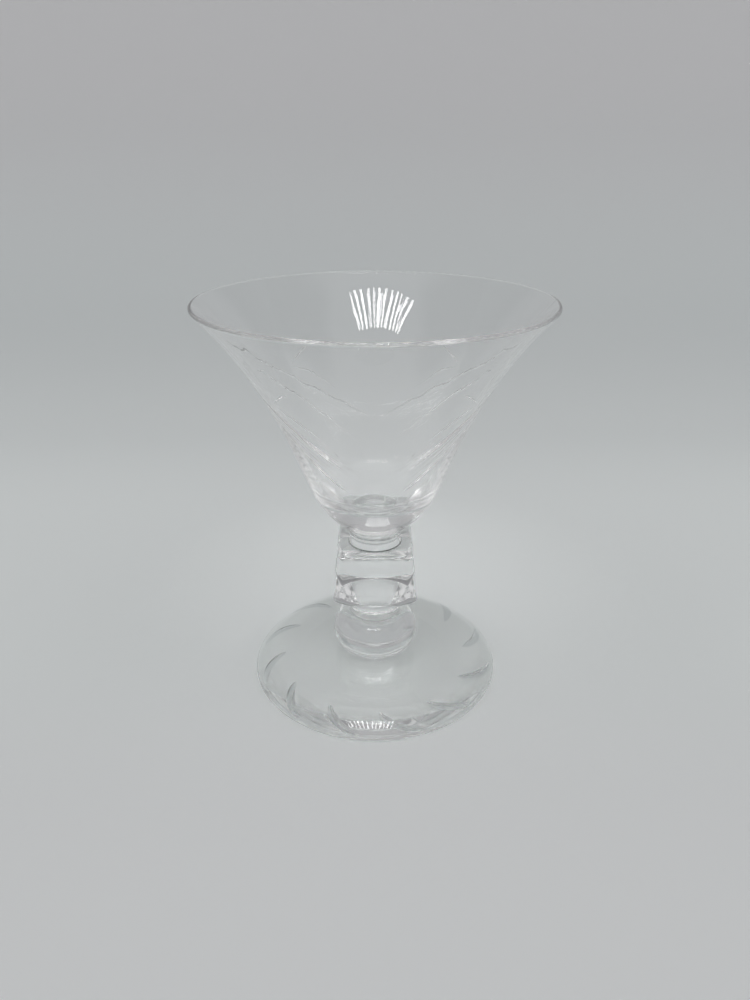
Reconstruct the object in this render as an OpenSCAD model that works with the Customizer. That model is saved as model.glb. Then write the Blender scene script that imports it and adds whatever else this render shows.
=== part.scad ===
// A stemmed cocktail glass with a flared cut bowl, a square block in its stem and a round cut foot.
// It stands on z = 0 with its axis on the z axis, and a flat side of the block faces the front.
// Each piece is a solid of its own, and seats face to face on the next one.

/* [Foot] */
// Diameter of the foot
foot_d = 76.2; // [66:0.1:90]
// Rounding of the foot's edge
foot_edge_r = 0.8; // [0.5:0.1:1.4]
// Radius of the roll of the upper side towards the edge
foot_roll_r = 18; // [14:0.5:20]
// Slope of the upper side at the edge, in degrees
foot_roll_lean = 43; // [36:0.5:45]
// Slope of the foot's upper side inside the roll, in degrees
foot_slope = 1; // [0.5:0.1:1.5]
// Height of the seat that carries the knop
foot_h = 7; // [6.8:0.1:8.5]
// Diameter of the seat that carries the knop
foot_seat_d = 19.5; // [18:0.1:21]
// Radius of the hollow curve between the seat and the foot's upper side
foot_fillet_r = 9; // [6:0.1:12]
// Diameter of the hollow ground into the underside
foot_hollow_d = 46; // [30:0.1:50]
// Depth of the hollow ground into the underside
foot_hollow_t = 0.9; // [0.4:0.1:1.4]

/* [Leaf cuts of the foot] */
// Number of leaf cuts round the foot
foot_leaves = 12; // [6:1:14]
// Distance from the glass's axis to the centre of a cut's curve
foot_leaf_place = 23.2; // [21:0.1:24]
// Radius of a cut's curve
foot_leaf_r = 13.1; // [11:0.1:14]
// Turn of a cut against the line from the glass's axis, in degrees
foot_leaf_turn = -51.6; // [-60:0.1:-40]
// Tilt of the wheel that makes a cut, in degrees
foot_leaf_tilt = 5.9; // [4:0.1:9]
// Greatest depth of a cut
foot_leaf_t = 0.2; // [0.15:0.05:0.4]
// Radius of the wheel's rounded edge
foot_wheel_r = 3.8; // [2:0.1:5]

/* [Knop] */
// Greatest diameter of the knop
knop_d = 26; // [24:0.1:29]
// Radius of the knop's round section
knop_bead_r = 7; // [6.6:0.1:7.4]

/* [Lower neck] */
// Diameter of the necks where they meet the knop and the bowl
neck_d = 15.2; // [13.5:0.1:16.5]
// Height of the neck between the knop and the block
lower_neck_h = 8.1; // [7:0.1:10]
// Diameter of the neck where it flares out under the block
lower_neck_top_d = 22.2; // [20:0.1:22.4]

/* [Block] */
// Height of the square block
block_h = 16; // [10:0.1:24]
// Width of the block at its foot
block_foot_w = 25; // [22.5:0.1:28]
// Width of the block at its top
block_top_w = 22.4; // [20.5:0.1:25]
// Rounding of the block's four standing edges
block_edge_r = 2.4; // [1.5:0.1:3]
// Rounding of the block's upper edges
block_rim_r = 1.6; // [0.6:0.1:1.8]
// Rounding of the block's lower edges
block_low_rim_r = 0.5; // [0.3:0.1:0.8]
// Radius of the turned underside of the block's corners
block_turn_r = 10; // [8:0.5:14]

/* [Ringed collar] */
// Height of the plain part of the collar
collar_plain_h = 2.5; // [1.5:0.1:5]
// Diameter of the collar where it meets the block
collar_foot_d = 16; // [14:0.1:18]
// Number of turned rings
collar_rings = 2; // [1:1:5]
// Height of one turned ring
collar_ring_h = 1.35; // [0.9:0.05:2]
// How far a ring stands out of its grooves
collar_ring_t = 0.35; // [0.15:0.05:0.6]

/* [Bowl] */
// Diameter across the rim
rim_d = 95.2; // [80:0.1:104]
// Height of the bowl from its seat to the rim
bowl_h = 66; // [56:0.1:74]
// Thickness of the wall at the rim
rim_t = 1.1; // [0.9:0.05:1.4]
// Width of the bowl where the flare begins, as a share of the rim's
side_top_w_share = 0.497; // [0.48:0.001:0.52]
// Height at which the flare begins, as a share of the bowl's
side_top_h_share = 0.398; // [0.36:0.001:0.42]
// Thickness of the wall where the flare begins
side_top_t = 1.5; // [1.3:0.05:1.7]
// Width of the bowl at the foot of its straight side, as a share of the rim's
side_foot_w_share = 0.381; // [0.37:0.001:0.39]
// Height of the foot of the straight side, as a share of the bowl's
side_foot_h_share = 0.187; // [0.17:0.001:0.21]
// Thickness of the wall at the foot of the straight side
side_foot_t = 2; // [1.7:0.05:2.3]
// Thickness of the solid glass under the drinking space
floor_t = 9.2; // [7:0.1:12]
// Radius of the domed floor inside
floor_r = 40; // [30:1:80]
// Rounding between the inside's floor and its side
floor_corner_r = 8; // [5:0.1:11]

/* [Leaf cuts of the bowl] */
// Number of leaf pairs round the bowl
leaf_pairs = 2; // [1:1:2]
// Greatest depth of a leaf cut
bowl_leaf_t = 0.3; // [0.2:0.05:0.35]
// Depth of the gentle cut that hollows a leaf's body
leaf_body_t = 0.2; // [0.15:0.05:0.3]
// Lean of a cut's two sides against the wall, in degrees
bowl_leaf_lean = 34; // [33:1:38]
// Depth of the fine cuts beside a leaf
fine_cut_t = 0.15; // [0.1:0.05:0.25]
// Width of the cutting wheel's sides
bowl_wheel_w = 4; // [3.5:0.1:4.5]

/* [Hidden] */
$fn = 96;
// Facets of a large circle where it is drawn with flat sides
fine = 720;

// Overrun of cuts past the faces that they go through
past = 1;
// Steps of a small rounding
steps = 8;
// Length that a cut's wheel runs on past its ends, as a share of the cut's depth
over_share = 12;
// Fine cuts beside a leaf, each from an angle and a share of the bowl's height through another to a third
fine_shares = [
    [[50, 0.66], [37, 0.6], [23, 0.5]],
    [[50, 0.67], [43, 0.712], [36, 0.74]]
];

// Heights of the joints, from the table up
knop_ring_r = knop_d / 2 - knop_bead_r;
knop_low = sqrt(pow(knop_bead_r, 2) - pow(foot_seat_d / 2 - knop_ring_r, 2));
knop_high = sqrt(pow(knop_bead_r, 2) - pow(neck_d / 2 - knop_ring_r, 2));
knop_z = foot_h;
lower_neck_z = knop_z + knop_low + knop_high;
block_z = lower_neck_z + lower_neck_h;
collar_z = block_z + block_h;
collar_h = collar_plain_h + collar_rings * collar_ring_h;
bowl_z = collar_z + collar_h;

// A point at a distance and an angle from a centre
function polar(c, r, a) = [c.x + r * cos(a), c.y + r * sin(a)];

// Points of an arc about a centre
function arc(c, r, from, to, n = steps) = [for (i = [0 : n]) polar(c, r, from + (to - from) * i / n)];

// Distance along a straight line between a point's foot on it and where a circle through it touches
function reach(r, d) = sqrt(2 * r * d - d * d);

// Outward normal of a wall that leans outward by an angle
function facing(lean) = [cos(lean), -sin(lean)];

// Direction of a vector
function unit(v) = v / norm(v);

// Lean of a side from upright
function lean_of(low, high) = atan((high.x - low.x) / (high.y - low.y));

// Straight side of the bowl and the lip's centre, in the bowl's own height
lip_c = [rim_d / 2 - rim_t / 2, bowl_h - rim_t / 2];
side_top = [side_top_w_share * rim_d / 2, side_top_h_share * bowl_h];
side_foot = [side_foot_w_share * rim_d / 2, side_foot_h_share * bowl_h];
side_lean = lean_of(side_foot, side_top);

// Radius of a flare that leaves a straight side at its top and touches the lip
function flare_r(top, lean, lip_gap) =
    let (p = lip_c - top) (p * p - lip_gap * lip_gap) / (2 * (p * facing(lean) + lip_gap));

// Outer flare
outer_r = flare_r(side_top, side_lean, rim_t / 2);
outer_c = side_top + outer_r * facing(side_lean);
outer_top = outer_c + outer_r * unit(lip_c - outer_c);

// Round under the bowl: it runs from the seat into the straight side
bowl_seat_r = neck_d / 2 + collar_ring_t;
seat_span = side_foot - [bowl_seat_r, 0];
bulb_r = seat_span * seat_span / (2 * seat_span * facing(side_lean));
bulb_c = side_foot - bulb_r * facing(side_lean);

// Inside of the bowl
inner_side_top = side_top - side_top_t * facing(side_lean);
inner_lean = lean_of(side_foot - side_foot_t * facing(side_lean), inner_side_top);
inner_r = flare_r(inner_side_top, inner_lean, -rim_t / 2);
inner_c = inner_side_top + inner_r * facing(inner_lean);
inner_top = inner_c + inner_r * unit(lip_c - inner_c);

// Lean of the bowl's outer wall and its radius at a height
function wall_lean(z) = z > side_top.y ? asin((z - outer_c.y) / outer_r) : side_lean;
function wall_r(z) = z > side_top.y
    ? outer_c.x - outer_r * cos(wall_lean(z))
    : side_top.x - (side_top.y - z) * tan(side_lean);

// A point at a distance outside the bowl's wall, at an angle from the front
function off_wall(angle, z, d) = [
    (wall_r(z) + d * cos(wall_lean(z))) * sin(angle),
    -(wall_r(z) + d * cos(wall_lean(z))) * cos(angle),
    z - d * sin(wall_lean(z))
];

// Centre of the circle through three points
function circle_centre(a, m, b) =
    let (u = a - b, v = m - b, w = cross(u, v))
    b + cross((u * u) * v - (v * v) * u, w) / (2 * (w * w));

// Moves a child from the xy plane into the plane of three directions at a place
module place(x_axis, y_axis, z_axis, c) {
    multmatrix([
        [x_axis.x, y_axis.x, z_axis.x, c.x],
        [x_axis.y, y_axis.y, z_axis.y, c.y],
        [x_axis.z, y_axis.z, z_axis.z, c.z],
        [0, 0, 0, 1]
    ]) children();
}

// Outline of the foot: a nearly level upper side that rolls off towards a fine edge
module foot_outline() {
    seat_r = foot_seat_d / 2;
    edge_c = [foot_d / 2 - foot_edge_r, foot_edge_r];
    roll_c = polar(edge_c, foot_edge_r - foot_roll_r, 90 - foot_roll_lean);
    roll_low = polar(roll_c, foot_roll_r, 90 - foot_roll_lean);
    roll_top = polar(roll_c, foot_roll_r, 90 - foot_slope);
    half_turn = (foot_roll_lean - foot_slope) / 2;
    roll_corner = polar(roll_c, foot_roll_r / cos(half_turn), 90 - foot_slope - half_turn);
    rise = (foot_h - roll_top.y - (roll_top.x - seat_r) * tan(foot_slope)) * cos(foot_slope);
    low = [seat_r, foot_h] - rise * [sin(foot_slope), cos(foot_slope)];
    touch = low + reach(foot_fillet_r, rise) * [cos(foot_slope), -sin(foot_slope)];
    centre = touch + foot_fillet_r * [sin(foot_slope), cos(foot_slope)];
    difference() {
        polygon([
            [0, 0],
            [edge_c.x, 0],
            edge_c,
            roll_low,
            roll_top,
            touch,
            [seat_r, foot_h],
            [0, foot_h]
        ]);
        translate(centre) circle(foot_fillet_r);
    }
    translate(edge_c) circle(foot_edge_r);
    intersection() {
        polygon([roll_low, roll_corner, roll_top]);
        translate(roll_c) circle(foot_roll_r, $fn = fine);
    }
}

// Round foot, from its ground underside to the seat of the knop
module foot() {
    hollow_r = (pow(foot_hollow_d / 2, 2) + pow(foot_hollow_t, 2)) / (2 * foot_hollow_t);
    color("azure", 0.4) difference() {
        rotate_extrude() foot_outline();
        translate([0, 0, foot_hollow_t - hollow_r]) sphere(hollow_r, $fn = 240);
        for (i = [0 : foot_leaves - 1]) rotate(360 / foot_leaves * i) foot_leaf();
    }
}

// Wheel that cuts one pointed leaf into the underside of the foot
module foot_leaf() {
    sink = foot_wheel_r - foot_leaf_t + foot_leaf_r * sin(foot_leaf_tilt);
    translate([foot_leaf_place, 0, -sink])
        rotate([0, 0, foot_leaf_turn])
        rotate([0, -foot_leaf_tilt, 0])
        rotate_extrude() translate([foot_leaf_r, 0]) circle(foot_wheel_r);
}

// Round knop
module knop() {
    color("azure", 0.4) translate([0, 0, knop_z]) rotate_extrude() intersection() {
        union() {
            square([knop_ring_r, knop_low + knop_high]);
            translate([knop_ring_r, knop_low]) circle(knop_bead_r);
        }
        square([knop_d, knop_low + knop_high]);
    }
}

// Round neck between the knop and the block, which it meets in a flare
module lower_neck() {
    flare = (lower_neck_top_d - neck_d) / 2;
    flare_r = (lower_neck_h * lower_neck_h + flare * flare) / (2 * flare);
    color("azure", 0.4) translate([0, 0, lower_neck_z]) rotate_extrude() difference() {
        square([lower_neck_top_d / 2, lower_neck_h]);
        translate([neck_d / 2 + flare_r, 0]) circle(flare_r);
    }
}

// Side view of the block, with its upper and lower edges rounded
module block_side() {
    lean = atan((block_foot_w - block_top_w) / 2 / block_h);
    foot_x = block_foot_w / 2 - block_low_rim_r * tan(45 + lean / 2);
    top_x = block_top_w / 2 - block_rim_r * tan(45 - lean / 2);
    right = concat(
        arc([foot_x, block_low_rim_r], block_low_rim_r, -90, lean),
        arc([top_x, block_h - block_rim_r], block_rim_r, lean, 90)
    );
    polygon(concat(right, [for (i = [len(right) - 1 : -1 : 0]) [-right[i].x, right[i].y]]));
}

// Turned blank of the block, whose underside rises towards the corners
module block_blank() {
    flat_r = lower_neck_top_d / 2;
    rotate_extrude() {
        translate([0, block_turn_r]) square([flat_r + block_turn_r, block_h]);
        square([flat_r, block_turn_r]);
        intersection() {
            translate([flat_r, 0]) square(block_turn_r);
            translate([flat_r, block_turn_r]) circle(block_turn_r, $fn = fine);
        }
    }
}

// Square block, wider at its foot, with its standing edges rounded
module stem_block() {
    step = (block_foot_w - block_top_w) / 2;
    tilt = atan(step * sqrt(2) / block_h);
    color("azure", 0.4) translate([0, 0, block_z]) difference() {
        intersection() {
            translate([0, block_foot_w / 2, 0]) rotate([90, 0, 0]) linear_extrude(block_foot_w) block_side();
            translate([-block_foot_w / 2, 0, 0]) rotate([90, 0, 90]) linear_extrude(block_foot_w) block_side();
            block_blank();
        }
        for (quarter = [0 : 3]) rotate(90 * quarter)
            translate([block_foot_w / 2, block_foot_w / 2, 0])
            rotate(a = tilt, v = [1, -1, 0])
            difference() {
                translate([-block_edge_r, -block_edge_r, -block_h / 2])
                    cube([block_edge_r + past, block_edge_r + past, block_h * 2]);
                translate([-block_edge_r, -block_edge_r, -block_h])
                    cylinder(r = block_edge_r, h = block_h * 3);
            }
    }
}

// Short round collar with fine turned rings under the bowl
module ringed_collar() {
    ring_r = (pow(collar_ring_h / 2, 2) + pow(collar_ring_t, 2)) / (2 * collar_ring_t);
    color("azure", 0.4) translate([0, 0, collar_z]) rotate_extrude() union() {
        polygon([
            [0, 0],
            [collar_foot_d / 2, 0],
            [neck_d / 2, collar_plain_h],
            [neck_d / 2, collar_h],
            [0, collar_h]
        ]);
        for (i = [0 : collar_rings - 1]) translate([0, collar_plain_h + collar_ring_h * i]) intersection() {
            square([neck_d, collar_ring_h]);
            translate([neck_d / 2 + collar_ring_t - ring_r, collar_ring_h / 2]) circle(ring_r);
        }
    }
}

// Outline of the bowl without its drinking space
module bowl_outside() {
    difference() {
        polygon([[0, side_foot.y], side_foot, side_top, outer_top, inner_top, [0, inner_top.y]]);
        translate(outer_c) circle(outer_r, $fn = fine);
    }
    intersection() {
        square([rim_d, side_foot.y]);
        translate(bulb_c) circle(bulb_r, $fn = fine);
    }
    translate(lip_c) circle(rim_t / 2);
}

// Outline of the drinking space
module bowl_inside() {
    floor_c = [0, floor_t + floor_r];
    // The corner's centre is a corner radius inside the side and inside the floor's dome
    side_x = inner_side_top.x - floor_corner_r / cos(inner_lean);
    t = tan(inner_lean);
    base_x = side_x + (floor_c.y - inner_side_top.y) * t;
    k = floor_r - floor_corner_r;
    drop = (base_x * t + sqrt(pow(base_x * t, 2) - (1 + t * t) * (base_x * base_x - k * k))) / (1 + t * t);
    corner_c = [base_x - drop * t, floor_c.y - drop];
    low_angle = -atan(drop / corner_c.x);
    difference() {
        polygon(concat(
            arc(floor_c, floor_r, -90, low_angle),
            arc(corner_c, floor_corner_r, low_angle, -inner_lean),
            [inner_side_top, inner_top, inner_top + [0, rim_t], [0, inner_top.y + rim_t]]
        ));
        translate(inner_c) circle(inner_r, $fn = fine);
    }
}

// Wheel run along the wall through three places, each given by its angle and its share of the height.
// The wheel's sharp edge makes the bottom of the cut, and its upper and lower sides lean against the wall.
module bowl_cut(from, middle, to, depth) {
    a = off_wall(from.x, from.y * bowl_h, 0);
    m = off_wall(middle.x, middle.y * bowl_h, -depth);
    b = off_wall(to.x, to.y * bowl_h, 0);
    c = circle_centre(a, m, b);
    x_axis = unit(a - c);
    z_axis = unit(cross(a - c, m - c));
    y_axis = cross(z_axis, x_axis);
    sweep = atan2((b - c) * y_axis, (b - c) * x_axis);
    run_r = norm(a - c);
    // The wheel starts and ends clear of the wall
    over = atan(depth * over_share / run_r);
    // Direction of the wall's normal in the wheel's own section
    normal = off_wall(middle.x, middle.y * bowl_h, past) - off_wall(middle.x, middle.y * bowl_h, 0);
    turn = atan2(normal * z_axis, normal * unit(m - c));
    up = sign(z_axis.z);
    place(x_axis, y_axis, z_axis, c) rotate(-over) rotate_extrude(angle = sweep + 2 * over)
        polygon([
            [run_r, 0],
            polar([run_r, 0], bowl_wheel_w, turn + up * (90 - bowl_leaf_lean)),
            polar([run_r, 0], bowl_wheel_w, turn - up * (90 - bowl_leaf_lean))
        ]);
}

// One long leaf on one side of the front, with the fine cuts beside it. A side of 1 is the right one.
module bowl_leaf(side) {
    at = function(p) [side * p.x, p.y];
    edge = [at([98, 0.87]), at([60, 0.64]), at([6, 0.395])];
    body = [at([84, 0.7]), at([54, 0.5]), at([20, 0.3])];
    bowl_cut(edge[0], edge[1], edge[2], bowl_leaf_t);
    bowl_cut(body[0], body[1], body[2], leaf_body_t);
    for (cut = fine_shares)
        bowl_cut(at(cut[0]), at(cut[1]), at(cut[2]), fine_cut_t);
}

// Blown bowl with a thick solid base and pairs of long leaf cuts
module bowl() {
    color("azure", 0.4) translate([0, 0, bowl_z]) difference() {
        rotate_extrude($fn = 240) difference() {
            bowl_outside();
            bowl_inside();
        }
        for (i = [0 : leaf_pairs - 1]) rotate(360 / leaf_pairs * i) {
            bowl_leaf(1);
            bowl_leaf(-1);
        }
    }
}

foot();
knop();
lower_neck();
stem_block();
ringed_collar();
bowl();
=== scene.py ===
"""A clear cut cocktail glass on a pale studio sweep, laid out as a Blender add-on and run as a script.

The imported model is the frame: its six solids are the glass, in metres, and they get their finish here.
"""

import math

import bpy
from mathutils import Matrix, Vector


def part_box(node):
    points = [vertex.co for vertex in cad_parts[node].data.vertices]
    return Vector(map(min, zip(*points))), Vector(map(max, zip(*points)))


bl_info = {
    "name": "Cut cocktail glass",
    "version": (1, 0, 0),
    "blender": (4, 5, 0),
    "location": "3D View > Sidebar > Glass",
    "description": "Finishes a stemmed, leaf-cut cocktail glass and sets it on a studio sweep",
    "category": "Object",
}

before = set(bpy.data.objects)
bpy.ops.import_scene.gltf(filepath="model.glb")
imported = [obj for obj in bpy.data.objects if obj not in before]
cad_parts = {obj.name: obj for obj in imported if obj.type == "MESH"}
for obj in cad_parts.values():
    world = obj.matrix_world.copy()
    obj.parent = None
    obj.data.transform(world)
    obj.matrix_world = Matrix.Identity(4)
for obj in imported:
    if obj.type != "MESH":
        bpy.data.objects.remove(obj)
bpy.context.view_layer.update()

STEM = ("knop", "lower_neck", "stem_block", "ringed_collar")
PIECES = ("foot", *STEM, "bowl")
TOP_OF = {name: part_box(name)[1].z for name in PIECES}
BOWL_FOOT = TOP_OF["ringed_collar"]
BOWL_HEIGHT = TOP_OF["bowl"] - BOWL_FOOT

# Sizes of the solids that the materials' masks follow, in metres

SEATS = {"foot": 0.00975, "knop": 0.0076, "lower_neck": 0.0111, "stem_block": 0.0080,
         "ringed_collar": 0.0076}
SEAT_SLACK = 0.00002
BLOCK_FLAT = 0.0111
BLOCK_TURN = 0.01
BLOCK_SKIN = 0.00012
SEAM_FROM, SEAM_TO = 0.00003, 0.00045
SEAM_RADIUS = 0.0076
NECK_SEAM_HALF = 0.00012
NECK_SEAM_RADIUS = 0.0073
GROOVE_HEIGHTS = (0.0025, 0.00385)
GROOVE_HALF = 0.00015
FOOT_CUTS_FROM, FOOT_CUTS_TO, FOOT_CUTS_SOFT = 0.0236, 0.0372, 0.0002
FOOT_CUTS_LOW, FOOT_CUTS_HIGH = 0.00002, 0.0006

# Edges of a long leaf, as shares of the bowl's height: at the front or back, per degree and per
# square degree on the way to the side

LEAF_TOP = (0.365, 0.0038, 0.000014)
LEAF_FOOT = (0.2, 0.0046, 0.000015)
LEAF_START = (14.0, 30.0)
LEAF_END = (80.0, 90.0)

# How strongly a mark takes the darker glass of painted shade, and how rough that glass is

CORNER_SHARE = 0.3
NECK_SEAM_SHARE = 0.12
GROOVE_SHARE = 0.5
PAINTED_SHADE_ROUGHNESS = 0.05

# Stage, in metres and degrees

SWEEP_SIZE = 2.4
SWEEP_PLACE = (0.0, -1.0, -0.0002)
SWEEP_BACK_EDGE = 1.1
SWEEP_TURN_CENTRE = (0.0, 0.2, 0.16)
SWEEP_TURN_STEPS = 24
SWEEP_WALL = 1.0
# Where the sweep's painted shade changes
NEAR_BLEND = (-0.07, 0.01)
WALL_BLEND = (0.1, 0.37)
TOP_BLEND = (0.05, 0.2)
UPPER_BLEND = (0.28, 0.42)
LAMP_WIDTH, LAMP_LENGTH = 0.26, 0.13
LAMP_X, LAMP_Y = -0.028, -0.187
STRIP_SHARE = 0.32
DARK_SIDES = (0.72, 0.92)
DARK_HEIGHT = (0.55, 0.9, 0.06)
DARK_FRONT_SHARE = 0.15
CAMERA_PLACE = (0.0, -0.197, 0.1516)
CAMERA_DOWN = 25.65
CAMERA_LENS = 26.82
GLASS_BOUNCES = 80
TRANSPARENT_BOUNCES = 32


# Shader maths

class Wire:
    """A number on its way between nodes, which takes part in Python expressions."""

    def __init__(self, shader, socket):
        self.shader = shader
        self.socket = socket

    def math(self, operation, *others):
        return self.shader.node("ShaderNodeMath", {"operation": operation}, *others)

    def __add__(self, other):
        return self.math("ADD", self, other)

    __radd__ = __add__

    def __sub__(self, other):
        return self.math("SUBTRACT", self, other)

    def __rsub__(self, other):
        return self.math("SUBTRACT", other, self)

    def __mul__(self, other):
        return self.math("MULTIPLY", self, other)

    __rmul__ = __mul__

    def __truediv__(self, other):
        return self.math("DIVIDE", self, other)

    def __lt__(self, other):
        return self.math("LESS_THAN", self, other)

    def __gt__(self, other):
        return self.math("GREATER_THAN", self, other)

    def __abs__(self):
        return self.math("ABSOLUTE", self)

    def clamped(self):
        return self.math("MINIMUM", self.math("MAXIMUM", self, 0.0), 1.0)


class Shader:
    """One node tree, made from its nodes' types, settings and inputs."""

    def __init__(self, tree):
        self.tree = tree
        tree.nodes.clear()

    def node(self, kind, settings=None, *values, out=0, places=None, **inputs):
        made = self.tree.nodes.new(kind)
        for name, value in (settings or {}).items():
            setattr(made, name, value)
        for key, value in [*enumerate(values), *(places or {}).items(), *inputs.items()]:
            socket = made.inputs[key if isinstance(key, int) else key.replace("_", " ")]
            if isinstance(value, Wire):
                self.tree.links.new(value.socket, socket)
            else:
                socket.default_value = value
        return Wire(self, made.outputs[out])

    def place(self, output="Object"):
        """The place in the object's own space, or a direction in a world, and its x, y and z."""
        coordinates = self.node("ShaderNodeTexCoord", out=output)
        split = self.node("ShaderNodeSeparateXYZ", None, coordinates)
        outputs = split.socket.node.outputs
        return coordinates, [Wire(self, outputs[axis]) for axis in range(3)]

    def root(self, value):
        return self.node("ShaderNodeMath", {"operation": "SQRT"}, value)

    def step(self, value, low, high):
        """0 below low and 1 above high, with a soft change between them."""
        return self.node("ShaderNodeMapRange", {"interpolation_type": "SMOOTHSTEP"},
                         value, low, high, 0.0, 1.0)

    def between(self, value, low, high, soft):
        """1 from low to high and 0 outside, with soft ends."""
        rising = self.step(value, low - soft, low + soft)
        return rising * (1.0 - self.step(value, high - soft, high + soft))

    def blend(self, factor, first, second):
        """A colour between two colours."""
        return self.node("ShaderNodeMix", {"data_type": "RGBA"}, out=2,
                         places={0: factor, 6: first, 7: second})

    def finish(self, surface, kind="ShaderNodeOutputMaterial"):
        output = self.tree.nodes.new(kind)
        self.tree.links.new(surface.socket, output.inputs["Surface"])


# What a user would change

class GlassFinish(bpy.types.PropertyGroup):
    tint: bpy.props.FloatVectorProperty(
        name="Tint", description="Colour that the stem gives to light passing one face", subtype="COLOR",
        size=4, min=0.0, max=1.0, default=(0.985, 0.990, 0.988, 1.0))
    # The foot's glass colour, darkened further as painted shade over the foot and the floor seen through
    # it
    foot_tint_and_shade: bpy.props.FloatVectorProperty(
        name="Foot tint",
        description="Colour that the foot's thicker glass gives to light passing one face",
        subtype="COLOR", size=4, min=0.0, max=1.0, default=(0.962, 0.968, 0.960, 1.0))
    bowl_tint: bpy.props.FloatVectorProperty(
        name="Bowl tint", description="Colour that the bowl's thin wall gives to light passing one face",
        subtype="COLOR", size=4, min=0.0, max=1.0, default=(1.0, 1.0, 1.0, 1.0))
    index: bpy.props.FloatProperty(
        name="Refractive index", description="How strongly the glass bends light",
        default=1.52, min=1.3, max=1.8)
    wave: bpy.props.FloatProperty(
        name="Wave", description="Height of the slow waves that hand work leaves in the surface",
        subtype="DISTANCE", unit="LENGTH", default=0.00001, min=0.0, max=0.001, precision=6)
    streak: bpy.props.FloatProperty(
        name="Streak", description="Height of the wheel's fine marks in the leaves of the bowl",
        subtype="DISTANCE", unit="LENGTH", default=0.00004, min=0.0, max=0.001, precision=6)
    cut_tint: bpy.props.FloatVectorProperty(
        name="Cut tint", description="Colour of light passing a leaf cut of the foot", subtype="COLOR",
        size=4, min=0.0, max=1.0, default=(0.88, 0.89, 0.89, 1.0))
    # Painted shade: dark glass colour for the stem's seams, grooves and block corners
    stem_painted_shade_tint: bpy.props.FloatVectorProperty(
        name="Ground tint",
        description="Colour of light passing the stem's seams, grooves and ground corners",
        subtype="COLOR", size=4, min=0.0, max=1.0, default=(0.25, 0.255, 0.255, 1.0))


class Studio(bpy.types.PropertyGroup):
    floor_colour: bpy.props.FloatVectorProperty(
        name="Floor", description="Colour of the sweep's floor", subtype="COLOR",
        size=4, min=0.0, max=1.0, default=(0.897, 0.928, 0.925, 1.0))
    # These four colours are the paper's colour with painted shade: darker in front of the glass, on the
    # lower wall, at the wall's top and above the picture
    near_floor_painted_shade: bpy.props.FloatVectorProperty(
        name="Near floor", description="Colour of the floor in front of the glass",
        subtype="COLOR", size=4, min=0.0, max=1.0, default=(0.86, 0.875, 0.88, 1.0))
    wall_painted_shade: bpy.props.FloatVectorProperty(
        name="Wall", description="Colour of the sweep's lower wall", subtype="COLOR",
        size=4, min=0.0, max=1.0, default=(0.650, 0.677, 0.683, 1.0))
    wall_top_painted_shade: bpy.props.FloatVectorProperty(
        name="Wall top", description="Colour of the sweep's wall at the top of the picture",
        subtype="COLOR", size=4, min=0.0, max=1.0, default=(0.672, 0.667, 0.68, 1.0))
    upper_wall_painted_shade: bpy.props.FloatVectorProperty(
        name="Upper wall", description="Colour of the sweep's wall above the picture", subtype="COLOR",
        size=4, min=0.0, max=1.0, default=(0.42, 0.42, 0.43, 1.0))
    room_colour: bpy.props.FloatVectorProperty(
        name="Room light", description="Colour of the light that the room gives", subtype="COLOR",
        size=4, min=0.0, max=1.0, default=(0.70, 0.70, 0.70, 1.0))
    wall_seen: bpy.props.FloatVectorProperty(
        name="Room", description="Colour of the room as the glass shows it", subtype="COLOR", size=4,
        min=0.0, max=1.0, default=(0.64, 0.64, 0.645, 1.0))
    dark_seen: bpy.props.FloatVectorProperty(
        name="Dark sides", description="Colour of the room's dark upper sides as the glass shows them",
        subtype="COLOR", size=4, min=0.0, max=1.0, default=(0.25, 0.25, 0.255, 1.0))
    lamp_height: bpy.props.FloatProperty(
        name="Lamp height", description="Height of the lamp over the floor",
        subtype="DISTANCE", unit="LENGTH", default=0.5, min=0.2, max=2.0)
    lamp_power: bpy.props.FloatProperty(
        name="Lamp power", description="Power of the whole lamp", subtype="POWER",
        default=0.45, min=0.0, max=100.0)
    lamp_strips: bpy.props.IntProperty(
        name="Lamp strips", description="Number of strips in the lamp", default=12, min=1, max=40)


# Glass

def turned_radius(s, x, y):
    return s.root(x * x + y * y)


def fused_faces(s, radius, z):
    """1 on the touching faces of fused pieces, which are left out of the optics."""
    fused = None
    for name, width in SEATS.items():
        seat = (abs(z - TOP_OF[name]) < SEAT_SLACK) * (radius < width + SEAT_SLACK)
        fused = seat if fused is None else fused + seat
    return fused.clamped()


def slow_waves(s, point):
    """Waves about a centimetre long, as hand work leaves them in a surface."""
    return s.node("ShaderNodeTexNoise", {"noise_dimensions": "3D"}, out="Fac",
                  Vector=point, Scale=90.0, Detail=2.5, Roughness=0.5)


def bowl_streaks(s, x, y, z):
    """Fine marks that the cutting wheel left in the long leaves, which run down from the sides to the
    middle of the front and of the back."""
    angle = s.node("ShaderNodeMath", {"operation": "ARCTAN2"}, abs(x), abs(y)) * (180.0 / math.pi)
    share = (z - BOWL_FOOT) / BOWL_HEIGHT
    upper, lower = (base + angle * slope + angle * angle * bend
                    for base, slope, bend in (LEAF_TOP, LEAF_FOOT))
    across = (share - lower) / (upper - lower)
    run = s.node("ShaderNodeCombineXYZ", None, across * 11.0, angle * 0.045, x * 40.0)
    marks = s.node("ShaderNodeTexNoise", {"noise_dimensions": "3D"}, out="Fac",
                   Vector=run, Scale=1.0, Detail=2.0, Roughness=0.6)
    inside = marks * s.between(across, 0.04, 0.97, 0.05)
    return inside * s.step(angle, *LEAF_START) * (1.0 - s.step(angle, *LEAF_END))


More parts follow.
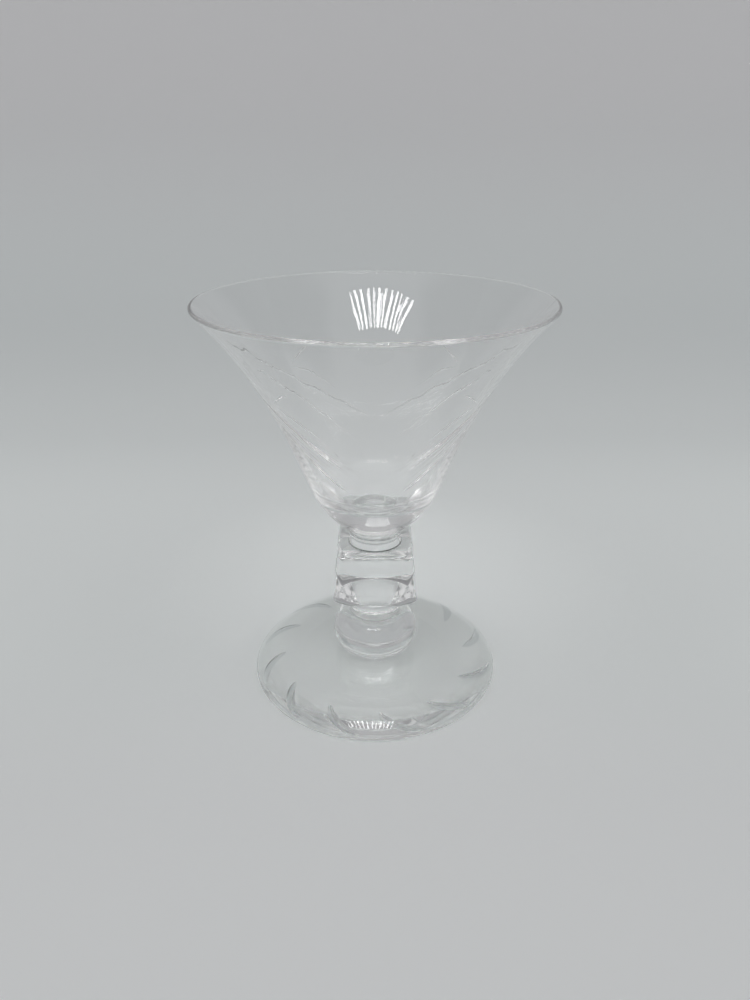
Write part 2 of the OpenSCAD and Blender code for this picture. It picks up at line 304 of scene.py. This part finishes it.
def glass_material(name, finish, tint, streaks=None, cuts_and_shade=None, cut_tint=None, cut_and_shade_roughness=0.0):
    """Clear glass with slow waves, and with streaks, darker cuts or painted shade where a piece has
    them.
    """
    material = bpy.data.materials.new(name)
    material.use_nodes = True
    s = Shader(material.node_tree)
    point, (x, y, z) = s.place()
    radius = turned_radius(s, x, y)
    normal = s.node("ShaderNodeBump", None, Height=slow_waves(s, point),
                    Distance=finish.wave, Strength=1.0)
    if streaks:
        normal = s.node("ShaderNodeBump", None, Height=streaks(s, x, y, z),
                        Distance=finish.streak, Strength=1.0, Normal=normal)
    glass = s.node("ShaderNodeBsdfPrincipled", None, Base_Color=tint, Roughness=0.0, IOR=finish.index,
                   Transmission_Weight=1.0, Normal=normal)
    # On the foot the darker glass is its greyer leaf cuts; on the stem it is painted shade
    if cuts_and_shade:
        cut_and_shade_glass = s.node("ShaderNodeBsdfGlass", None, Color=cut_tint, Roughness=cut_and_shade_roughness,
                     IOR=finish.index, Normal=normal)
        glass = s.node("ShaderNodeMixShader", None, cuts_and_shade(s, x, y, z, radius), glass, cut_and_shade_glass)
    clear = s.node("ShaderNodeBsdfTransparent", None, (1.0, 1.0, 1.0, 1.0))
    s.finish(s.node("ShaderNodeMixShader", None, fused_faces(s, radius, z), glass, clear))
    return material


def corner_painted_shade(s, x, y, z, radius):
    """A light share of painted shade on the turned underside of the block's corners."""
    block_foot = TOP_OF["lower_neck"]
    out = s.node("ShaderNodeMath", {"operation": "MAXIMUM"}, radius - BLOCK_FLAT, 0.0)
    rise = BLOCK_TURN - s.root(BLOCK_TURN * BLOCK_TURN - out * out)
    underside = (abs(z - block_foot - rise) < BLOCK_SKIN) * (radius > BLOCK_FLAT + 0.0001)
    diagonal = s.step(abs(x * y) * 2.0 / (radius * radius + 0.000001), 0.6, 0.85)
    return underside * diagonal * CORNER_SHARE


def seam_and_groove_painted_shade(s, radius, z):
    """Painted shade: 1 on the collar's foot just above the block, less at the knop's top and in the
    grooves.
    """
    above = z - TOP_OF["stem_block"]
    seam = (above > SEAM_FROM) * (above < SEAM_TO) * (radius > SEAM_RADIUS)
    neck_seam = (abs(z - TOP_OF["knop"]) < NECK_SEAM_HALF) * (radius > NECK_SEAM_RADIUS)
    seam = seam + neck_seam * NECK_SEAM_SHARE
    for groove in GROOVE_HEIGHTS:
        seam = seam + (abs(above - groove) < GROOVE_HALF) * GROOVE_SHARE
    return seam


def stem_painted_shade(s, x, y, z, radius):
    """The stem's painted shade in one mask."""
    return (corner_painted_shade(s, x, y, z, radius) + seam_and_groove_painted_shade(s, radius, z)).clamped()


def foot_cuts(s, x, y, z, radius):
    """1 in the leaf cuts of the foot's underside."""
    ring = s.between(radius, FOOT_CUTS_FROM, FOOT_CUTS_TO, FOOT_CUTS_SOFT)
    return ring * (z > FOOT_CUTS_LOW) * (z < FOOT_CUTS_HIGH)


def dress(names, material):
    """Gives the nodes' material slots the material."""
    for name in names:
        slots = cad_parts[name].material_slots
        if not slots:
            raise RuntimeError(f"{name} has no material slot")
        for slot in slots:
            slot.material = material


class GLASS_OT_foot(bpy.types.Operator):
    """Gives the foot its clear finish, with a darker tint that paints shade over it, a little greyer in
    its leaf cuts
    """
    bl_idname = "glass.foot"
    bl_label = "Finish the foot"

    def execute(self, context):
        finish = context.scene.glass_finish
        dress(("foot",), glass_material("clear_glass_foot", finish, finish.foot_tint_and_shade,
                                        cuts_and_shade=foot_cuts, cut_tint=finish.cut_tint))
        return {"FINISHED"}


class GLASS_OT_stem(bpy.types.Operator):
    """Gives the four sections of the stem their clear finish, darker with painted shade at seams,
    grooves and the block's corners
    """
    bl_idname = "glass.stem"
    bl_label = "Finish the stem"

    def execute(self, context):
        finish = context.scene.glass_finish
        # The stem's seams, grooves and block corners take painted shade
        dress(STEM, glass_material("clear_glass_stem", finish, finish.tint, cuts_and_shade=stem_painted_shade,
                                   cut_tint=finish.stem_painted_shade_tint, cut_and_shade_roughness=PAINTED_SHADE_ROUGHNESS))
        return {"FINISHED"}


class GLASS_OT_bowl(bpy.types.Operator):
    """Gives the bowl its clear finish, with the wheel's fine marks in its long leaves"""
    bl_idname = "glass.bowl"
    bl_label = "Finish the bowl"

    def execute(self, context):
        finish = context.scene.glass_finish
        dress(("bowl",), glass_material("clear_glass_bowl", finish, finish.bowl_tint,
                                        streaks=bowl_streaks))
        return {"FINISHED"}


# Stage

def sweep_material(studio):
    """Matt paper, with painted shade that makes it a little darker near the camera, on the wall and
    above the picture.
    """
    material = bpy.data.materials.new("paper_sweep")
    material.use_nodes = True
    s = Shader(material.node_tree)
    point, (x, y, z) = s.place()
    # Painted shade: the paper darkens towards the camera, up the wall and above the picture
    ground = s.blend(s.step(y, *NEAR_BLEND), studio.near_floor_painted_shade, studio.floor_colour)
    wall = s.blend(s.step(y + z, *WALL_BLEND), ground, studio.wall_painted_shade)
    wall = s.blend(s.step(z, *TOP_BLEND), wall, studio.wall_top_painted_shade)
    colour = s.blend(s.step(z, *UPPER_BLEND), wall, studio.upper_wall_painted_shade)
    s.finish(s.node("ShaderNodeBsdfDiffuse", None, colour))
    return material


class GLASS_OT_stage(bpy.types.Operator):
    """Adds the sweep, the lamp, the surroundings and the camera"""
    bl_idname = "glass.stage"
    bl_label = "Set the stage"

    def execute(self, context):
        studio = context.scene.studio
        self.add_sweep(studio)
        self.add_lamp(studio)
        self.add_room(context.scene, studio)
        self.add_camera(context.scene)
        context.scene.view_settings.view_transform = "Standard"
        cycles = context.scene.cycles
        cycles.blur_glossy = 0.0
        cycles.max_bounces = GLASS_BOUNCES
        cycles.transmission_bounces = GLASS_BOUNCES
        cycles.glossy_bounces = GLASS_BOUNCES
        cycles.transparent_max_bounces = TRANSPARENT_BOUNCES
        return {"FINISHED"}

    def add_sweep(self, studio):
        """A floor that turns up into a wall behind the glass."""
        bpy.ops.object.select_all(action="DESELECT")
        bpy.ops.mesh.primitive_plane_add(size=SWEEP_SIZE, location=SWEEP_PLACE)
        sweep = bpy.context.active_object
        sweep.name = "sweep"
        bpy.ops.object.mode_set(mode="EDIT")
        bpy.ops.mesh.select_all(action="DESELECT")
        bpy.ops.object.mode_set(mode="OBJECT")
        for edge in sweep.data.edges:
            ends = [sweep.data.vertices[v].co.y for v in edge.vertices]
            edge.select = min(ends) > SWEEP_BACK_EDGE
        bpy.ops.object.mode_set(mode="EDIT")
        bpy.ops.mesh.select_mode(type="EDGE")
        bpy.ops.mesh.spin(steps=SWEEP_TURN_STEPS, angle=math.radians(-90), center=SWEEP_TURN_CENTRE,
                          axis=(1.0, 0.0, 0.0))
        bpy.ops.mesh.extrude_region_move(TRANSFORM_OT_translate={"value": (0.0, 0.0, SWEEP_WALL)})
        bpy.ops.object.mode_set(mode="OBJECT")
        bpy.ops.object.transform_apply(location=True, rotation=True, scale=True)
        bpy.ops.object.shade_smooth()
        sweep.data.materials.append(sweep_material(studio))

    def add_lamp(self, studio):
        """One lamp of narrow strips side by side, over the camera's side of the glass."""
        count = studio.lamp_strips
        for i in range(count):
            light = bpy.data.lights.new(f"lamp_strip_{i:02d}", "AREA")
            light.shape = "RECTANGLE"
            light.size = LAMP_WIDTH / count * STRIP_SHARE
            light.size_y = LAMP_LENGTH
            light.energy = studio.lamp_power / count
            strip = bpy.data.objects.new(light.name, light)
            strip.visible_diffuse = False
            x = LAMP_X + LAMP_WIDTH * ((i + 0.5) / count - 0.5)
            strip.location = (x, LAMP_Y, studio.lamp_height)
            bpy.context.scene.collection.objects.link(strip)

    def add_room(self, scene, studio):
        """Even light for matt surfaces, and a room with darker upper sides for what the glass shows."""
        world = bpy.data.worlds.new("light_box")
        scene.world = world
        world.use_nodes = True
        s = Shader(world.node_tree)
        direction, (x, y, z) = s.place("Generated")
        side = s.step(abs(x) / (turned_radius(s, x, y) + 0.001), *DARK_SIDES)
        height = s.between(z, *DARK_HEIGHT)
        dark = height * (DARK_FRONT_SHARE + side * (1.0 - DARK_FRONT_SHARE))
        seen = s.blend(dark, studio.wall_seen, studio.dark_seen)
        through = s.node("ShaderNodeLightPath", out="Is Transmission Ray")
        mirrored = s.node("ShaderNodeLightPath", out="Is Glossy Ray")
        light = s.blend((through + mirrored).clamped(), studio.room_colour, seen)
        s.finish(s.node("ShaderNodeBackground", None, light, 1.0), "ShaderNodeOutputWorld")

    def add_camera(self, scene):
        data = bpy.data.cameras.new("camera")
        data.lens = CAMERA_LENS
        camera = bpy.data.objects.new("camera", data)
        camera.location = CAMERA_PLACE
        camera.rotation_euler = (math.radians(90 - CAMERA_DOWN), 0.0, 0.0)
        scene.collection.objects.link(camera)
        scene.camera = camera


class GLASS_PT_panel(bpy.types.Panel):
    """Sizes and colours of the glass and its stage"""
    bl_idname = "GLASS_PT_panel"
    bl_label = "Cut cocktail glass"
    bl_space_type = "VIEW_3D"
    bl_region_type = "UI"
    bl_category = "Glass"

    def draw(self, context):
        column = self.layout.column()
        for group in (context.scene.glass_finish, context.scene.studio):
            for name in group.bl_rna.properties.keys():
                if name not in ("rna_type", "name"):
                    column.prop(group, name)
        for step in ("glass.foot", "glass.stem", "glass.bowl", "glass.stage"):
            column.operator(step)


CLASSES = (GlassFinish, Studio, GLASS_OT_foot, GLASS_OT_stem, GLASS_OT_bowl, GLASS_OT_stage,
           GLASS_PT_panel)


def register():
    for cls in CLASSES:
        bpy.utils.register_class(cls)
    bpy.types.Scene.glass_finish = bpy.props.PointerProperty(type=GlassFinish)
    bpy.types.Scene.studio = bpy.props.PointerProperty(type=Studio)


def unregister():
    del bpy.types.Scene.studio
    del bpy.types.Scene.glass_finish
    for cls in reversed(CLASSES):
        bpy.utils.unregister_class(cls)


def main():
    register()
    bpy.ops.glass.foot()
    bpy.ops.glass.stem()
    bpy.ops.glass.bowl()
    bpy.ops.glass.stage()


if __name__ == "__main__":
    main()
